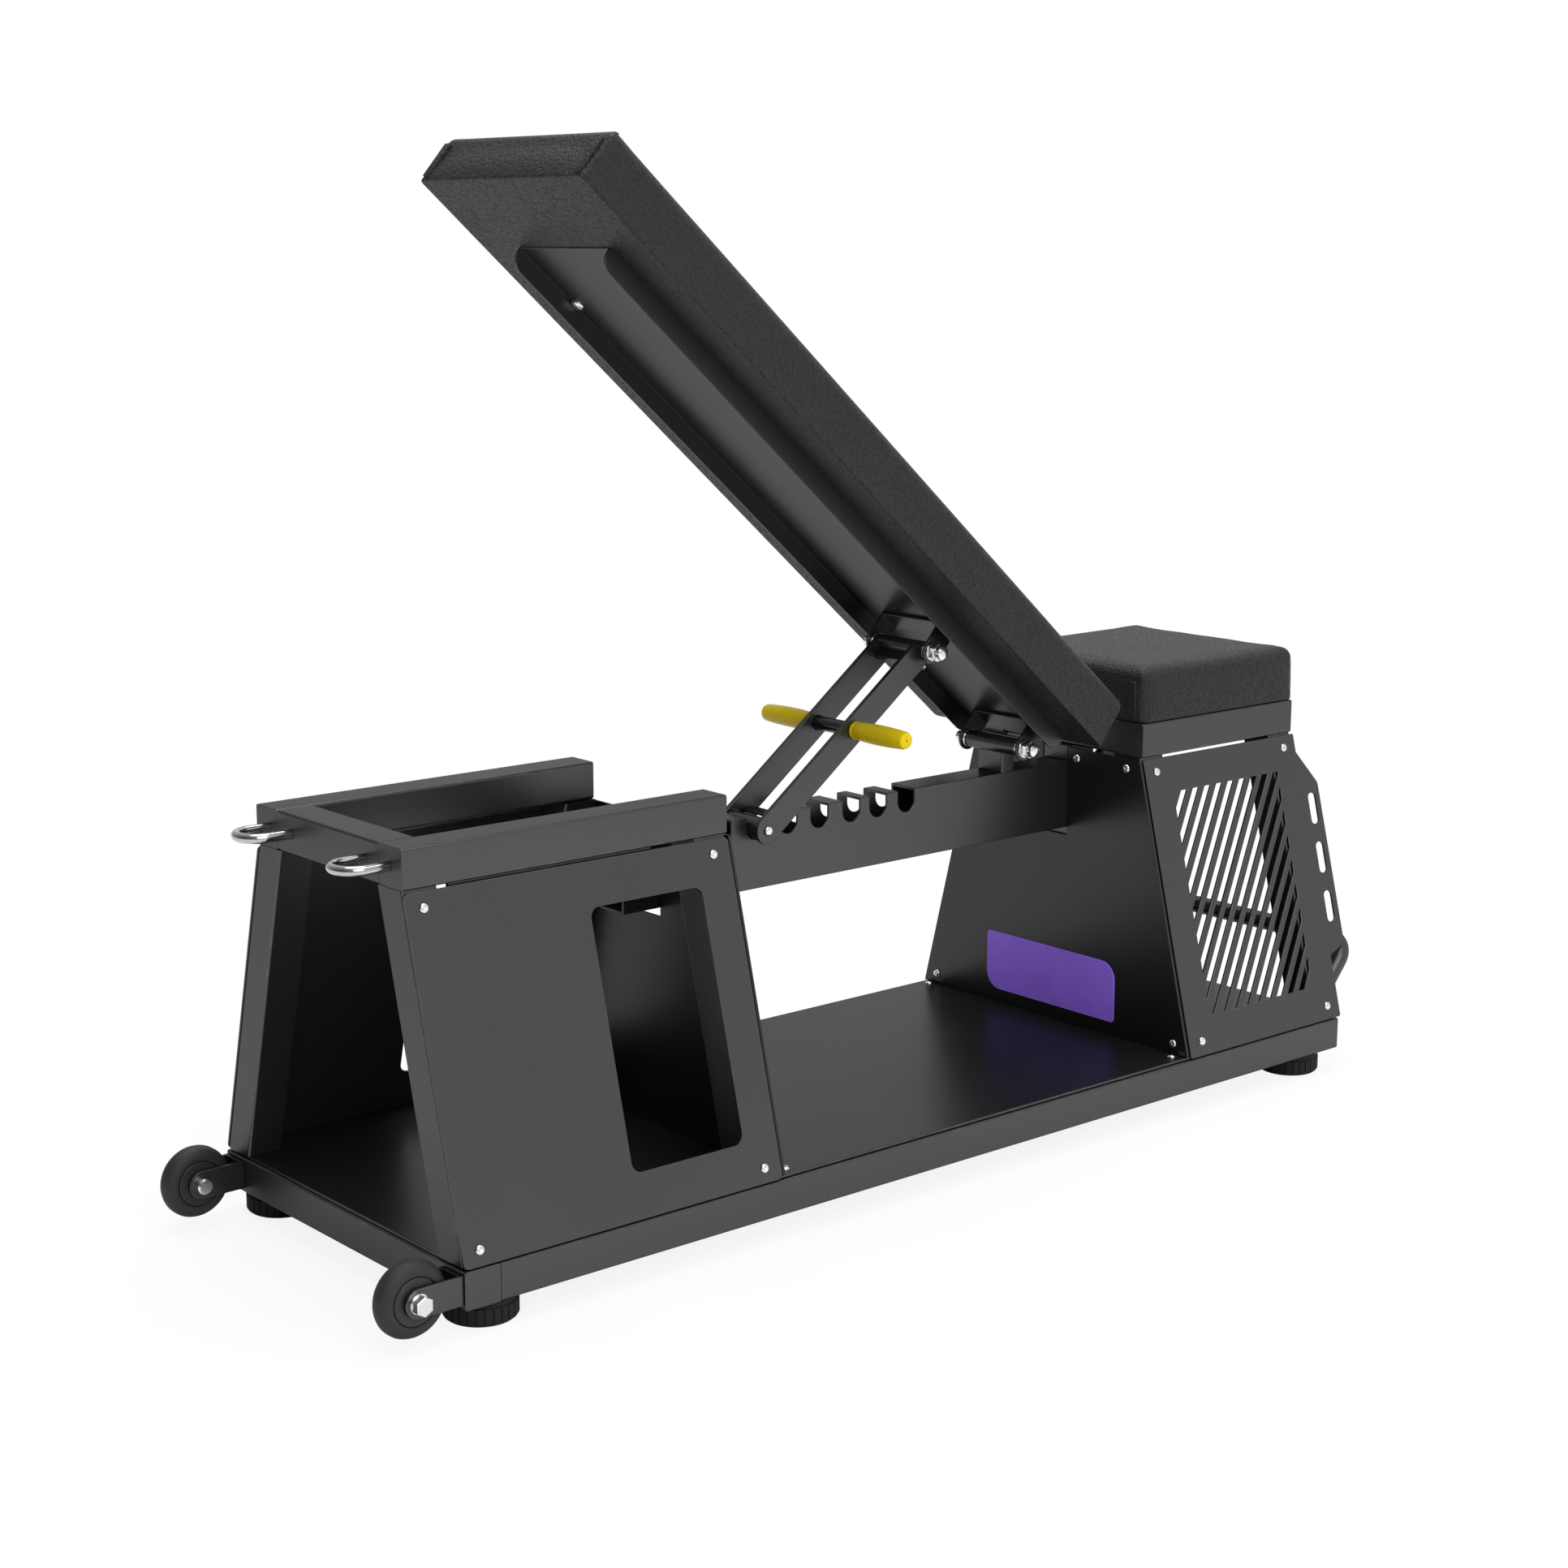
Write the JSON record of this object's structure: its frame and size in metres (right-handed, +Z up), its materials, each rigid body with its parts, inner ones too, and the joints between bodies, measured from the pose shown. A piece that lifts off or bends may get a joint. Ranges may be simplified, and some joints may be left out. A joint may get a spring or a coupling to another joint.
{
  "type": "adjustable training bench",
  "caption": "Padded training bench on a steel storage base: slotted strut under an adjustable back, fixed seat, windowed and slotted side sheets, wheels and a lift handle.",
  "frame": {"origin": "on the ground, under the middle of the bench's bounding box", "axes": "+X from the wheel end to the seat end, +Y across the bench, +Z up"},
  "size_m": [1.4163, 0.4638, 1.0971],
  "materials": {
    "frame_paint": "satin black powder coat",
    "panel_paint": "matt black powder coat",
    "leatherette": "black leather-grain cover over foam",
    "plywood": "bare plywood",
    "zinc": "zinc plated",
    "chrome": "bright chrome",
    "rubber": "moulded black rubber",
    "tyre": "solid black tread",
    "wheel_plastic": "moulded dark grey",
    "yellow_plastic": "moulded yellow grip",
    "rod_steel": "blackened steel bar"
  },
  "bodies": {
    "frame": {"axle_bolt_far": "zinc", "axle_bolt_near": "zinc", "base_cross_seat": "frame_paint", "base_cross_wheels": "frame_paint", "base_rail_far": "frame_paint", "base_rail_near": "frame_paint", "floor_plate": "panel_paint", "foot_seat_far": "rubber", "foot_seat_near": "rubber", "foot_wheels_far": "rubber", "foot_wheels_near": "rubber", "grille_panel_far": "panel_paint", "grille_panel_near": "panel_paint", "head_frame_arm_far": "frame_paint", "head_frame_arm_near": "frame_paint", "head_frame_cross": "frame_paint", "hinge_post": "frame_paint", "leg_head_inner_far": "frame_paint", "leg_head_inner_near": "frame_paint", "leg_head_outer_far": "frame_paint", "leg_head_outer_near": "frame_paint", "leg_seat_inner_far": "frame_paint", "leg_seat_inner_near": "frame_paint", "leg_seat_outer_far": "frame_paint", "leg_seat_outer_near": "frame_paint", "lift_handle": "frame_paint", "partition_wall": "panel_paint", "rest_rod": "rod_steel", "seat_board": "plywood", "seat_frame_arm_far": "frame_paint", "seat_frame_arm_near": "frame_paint", "seat_frame_cross_front": "frame_paint", "seat_frame_cross_rear": "frame_paint", "seat_pad": "leatherette", "seat_wall": "panel_paint", "side_panel_far": "panel_paint", "side_panel_near": "panel_paint", "spine_beam": "frame_paint", "strap_ring_far": "chrome", "strap_ring_near": "chrome", "wheel_fork_far": "frame_paint", "wheel_fork_near": "frame_paint"},
    "back": {"back_pad": "leatherette", "back_board": "plywood", "back_channel": "frame_paint", "hinge_bracket": "frame_paint", "strut_bracket": "frame_paint", "hinge_bolt": "zinc", "strut_bolt": "zinc"},
    "strut": {"strut_bar_near": "frame_paint", "strut_bar_far": "frame_paint", "strut_sleeve": "frame_paint", "handle_rod": "rod_steel", "grip_near": "yellow_plastic", "grip_far": "yellow_plastic"},
    "wheel_near": {"tyre_near": "tyre", "wheel_hub_near": "wheel_plastic"},
    "wheel_far": {"tyre_far": "tyre", "wheel_hub_far": "wheel_plastic"}
  },
  "joints": [
    {"name": "back_hinge", "type": "hinge", "parent": "frame", "child": "back", "pos_m": [0.26825, 0, 0.4198], "axis": [0, 1, 0], "range_deg": [-41.2, 46]},
    {"name": "strut_hinge", "type": "hinge", "parent": "back", "child": "strut", "pos_m": [0.12028, 0, 0.54726], "axis": [0, 1, 0], "range_deg": [-79, 71]},
    {"name": "wheel_near_spin", "type": "hinge", "parent": "frame", "child": "wheel_near", "pos_m": [-0.67075, -0.2028, 0.045], "axis": [0, 1, 0], "continuous": true},
    {"name": "wheel_far_spin", "type": "hinge", "parent": "frame", "child": "wheel_far", "pos_m": [-0.67075, 0.2028, 0.045], "axis": [0, 1, 0], "continuous": true}
  ],
  "couplings": [
    {"joint": "strut_hinge", "follows": "back_hinge", "ratio": -1.7}
  ]
}
